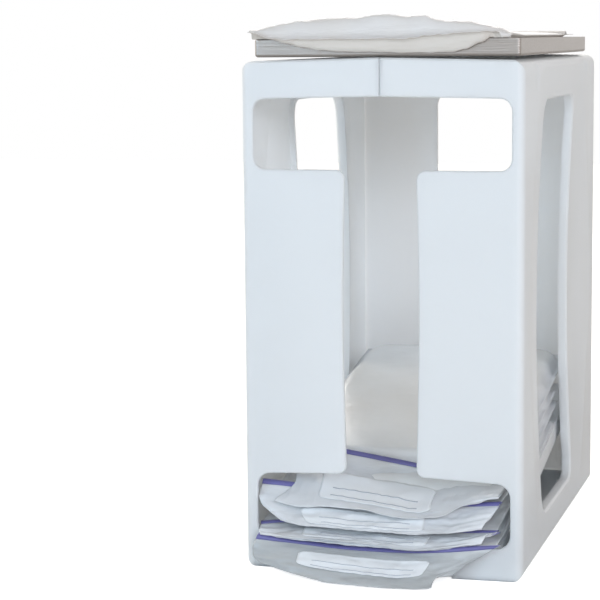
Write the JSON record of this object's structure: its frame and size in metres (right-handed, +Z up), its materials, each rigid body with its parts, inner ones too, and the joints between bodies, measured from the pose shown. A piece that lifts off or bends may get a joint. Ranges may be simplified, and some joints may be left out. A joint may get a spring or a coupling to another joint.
{
  "type": "breast milk storage freezer box",
  "caption": "Two-shell white freezer box with a sloped floor, loading window and dispensing slot, holding flat milk bags, with a steel freezing tray on its deck.",
  "frame": {"origin": "middle of the base, between the four feet", "axes": "+X to the right seen from the front, front at -Y, +Z up"},
  "size_m": [0.138, 0.2666, 0.2663],
  "materials": {
    "shell": "white moulded plastic, satin",
    "floor": "white moulded plastic, satin",
    "tray": "brushed stainless sheet",
    "film": "clear soft film over frozen milk",
    "zip_groove": "violet extruded zip strip",
    "zip_tongue": "violet extruded zip strip",
    "label": "white write-in panel"
  },
  "bodies": {
    "box": {"left_shell": "shell", "right_shell": "shell", "sloped_floor": "floor"},
    "tray": {"freezing_tray": "tray"},
    "bag_1": {"bag_1_pouch": "film", "bag_1_zip_groove": "zip_groove", "bag_1_zip_tongue": "zip_tongue", "bag_1_label": "label"},
    "bag_2": {"bag_2_pouch": "film", "bag_2_zip_groove": "zip_groove", "bag_2_zip_tongue": "zip_tongue", "bag_2_label": "label"},
    "bag_3": {"bag_3_pouch": "film", "bag_3_zip_groove": "zip_groove", "bag_3_zip_tongue": "zip_tongue", "bag_3_label": "label"},
    "bag_4": {"bag_4_pouch": "film", "bag_4_zip_groove": "zip_groove", "bag_4_zip_tongue": "zip_tongue", "bag_4_label": "label"},
    "soft_bag": {"soft_bag_pouch": "film", "soft_bag_zip_groove": "zip_groove", "soft_bag_zip_tongue": "zip_tongue", "soft_bag_label": "label"}
  },
  "joints": [
    {"name": "tray_lift", "type": "slide", "parent": "box", "child": "tray", "axis": [0, 0, 1], "range_m": [0, 0.06]},
    {"name": "soft_bag_lift", "type": "slide", "parent": "tray", "child": "soft_bag", "axis": [0, 0, 1], "range_m": [0, 0.05]},
    {"name": "bag_1_slide", "type": "slide", "parent": "box", "child": "bag_1", "axis": [0, -0.9848, -0.1736], "range_m": [0, 0.085]},
    {"name": "bag_2_slide", "type": "slide", "parent": "box", "child": "bag_2", "axis": [0, -0.9848, -0.1736], "range_m": [0, 0.085]},
    {"name": "bag_3_slide", "type": "slide", "parent": "box", "child": "bag_3", "axis": [0, -0.9848, -0.1736], "range_m": [0, 0.085]},
    {"name": "bag_4_lift", "type": "slide", "parent": "box", "child": "bag_4", "axis": [0, 0, 1], "range_m": [0, 0.15]}
  ]
}
